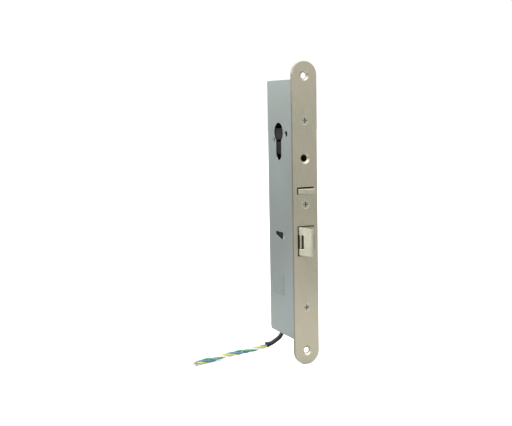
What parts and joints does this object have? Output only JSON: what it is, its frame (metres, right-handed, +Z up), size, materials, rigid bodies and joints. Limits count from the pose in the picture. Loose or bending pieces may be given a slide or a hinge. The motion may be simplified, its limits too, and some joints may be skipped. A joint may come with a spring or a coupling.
{
  "type": "electric mortise lock",
  "caption": "Narrow electric mortise lock: round-ended faceplate, wedge latch, auxiliary latch, slim case with Euro-profile hole, solenoid block and a short wired cable.",
  "frame": {"origin": "on the faceplate's front face, midway between the two fixing holes", "axes": "+Y into the door (the faceplate looks along -Y), +X across the door's thickness away from the camera's side, +Z up along the faceplate"},
  "size_m": [0.1068, 0.0695, 0.27],
  "materials": {
    "satin_plate": "vertical satin brushing, warm nickel tone",
    "zinc_case": "zinc-plated sheet steel, dull",
    "zinc_cover": "zinc-plated sheet steel, dull",
    "dark_steel": "plain steel",
    "bright_screw": "nickel-plated",
    "plain_steel": "turned steel",
    "zinc_screw": "zinc-plated",
    "guard_steel": "plain steel",
    "latch_metal": "satin nickel on cast metal",
    "tail_steel": "plain steel",
    "pin_steel": "ground",
    "rocker_metal": "satin",
    "black_plastic": "moulded",
    "spring_steel": "drawn wire",
    "aux_metal": "satin nickel on cast metal",
    "clip_steel": "blackened",
    "guide_steel": "zinc-plated",
    "lever_steel": "stamped steel",
    "post_steel": "turned",
    "pawl_steel": "yellow zinc",
    "brass": "turned",
    "yoke_steel": "blued steel",
    "bobbin_plastic": "moulded",
    "copper_winding": "enamelled copper",
    "core_steel": "turned",
    "plunger_steel": "ground",
    "board_green": "solder mask",
    "terminal_green": "moulded",
    "core_insulation": "wire insulation",
    "lead_red": "wire insulation",
    "black_rubber": "moulded",
    "black_sleeve": "shiny flexible tube",
    "wire_bundle": "four twisted insulated wires",
    "tinned_wire": "tinned",
    "blank_film": "clear film"
  },
  "bodies": {
    "lock_case": {"faceplate": "satin_plate", "case_body": "zinc_case", "case_cover": "zinc_cover", "mounting_blocks": "dark_steel", "faceplate_screws": "bright_screw", "cover_pillars": "plain_steel", "cover_screws": "zinc_screw", "guard_plate": "guard_steel", "tail_guide": "black_plastic", "latch_spring": "spring_steel", "aux_guide": "guide_steel", "aux_spring": "spring_steel", "door_sensor": "black_plastic", "latch_sensor": "black_plastic", "lever_post": "post_steel", "pawl_post": "post_steel", "pawl_spacer": "brass", "solenoid_yoke": "yoke_steel", "solenoid_bobbin": "bobbin_plastic", "solenoid_winding": "copper_winding", "solenoid_core": "core_steel", "plunger_spring": "spring_steel", "control_board": "board_green", "driver_chip": "black_plastic", "terminal_block": "terminal_green", "cable_cores": "core_insulation", "solenoid_leads": "lead_red", "cable_grommet": "black_rubber", "cable_sleeve": "black_sleeve", "cable_wires": "wire_bundle", "wire_tips": "tinned_wire", "side_label": "blank_film"},
    "latch": {"latch_bolt": "latch_metal", "latch_tail": "tail_steel", "tail_pin": "pin_steel", "rocker_pin": "pin_steel"},
    "rocker": {"antifriction_rocker": "rocker_metal"},
    "aux": {"aux_latch": "aux_metal", "aux_clip": "clip_steel"},
    "lever": {"cylinder_lever": "lever_steel", "cam_stud": "pin_steel", "drive_pin": "pin_steel"},
    "solenoid_plunger": {"plunger": "plunger_steel", "push_rod": "brass", "link_pin": "pin_steel"},
    "pawl": {"blocking_pawl": "pawl_steel"}
  },
  "joints": [
    {"name": "latch_slide", "type": "slide", "parent": "lock_case", "child": "latch", "axis": [0, 1, 0], "range_m": [0, 0.012], "stiffness_N_per_m": 250, "springref_m": -0.012, "deforming": ["latch_spring"]},
    {"name": "rocker_hinge", "type": "hinge", "parent": "latch", "child": "rocker", "pos_m": [0, 0.0035, -0.0231], "axis": [0, 0, 1], "range_deg": [-3, 3], "stiffness_Nm_per_rad": 0.05},
    {"name": "aux_slide", "type": "slide", "parent": "lock_case", "child": "aux", "axis": [0, 1, 0], "range_m": [0, 0.0046], "stiffness_N_per_m": 150, "springref_m": -0.008, "deforming": ["aux_spring"]},
    {"name": "lever_hinge", "type": "hinge", "parent": "lock_case", "child": "lever", "pos_m": [0.0056, 0.026, 0.04], "axis": [1, 0, 0], "range_deg": [0, 11.5]},
    {"name": "plunger_slide", "type": "slide", "parent": "lock_case", "child": "solenoid_plunger", "axis": [0, 0, 1], "range_m": [0, 0.003], "stiffness_N_per_m": 200, "springref_m": -0.006, "deforming": ["plunger_spring"]},
    {"name": "pawl_hinge", "type": "hinge", "parent": "lock_case", "child": "pawl", "pos_m": [0, 0.045, -0.038], "axis": [-1, 0, 0], "range_deg": [0, 11.6]}
  ],
  "couplings": [
    {"joint": "lever_hinge", "follows": "latch_slide", "rad_per_m": 16.667},
    {"joint": "pawl_hinge", "follows": "plunger_slide", "rad_per_m": 66.667}
  ]
}
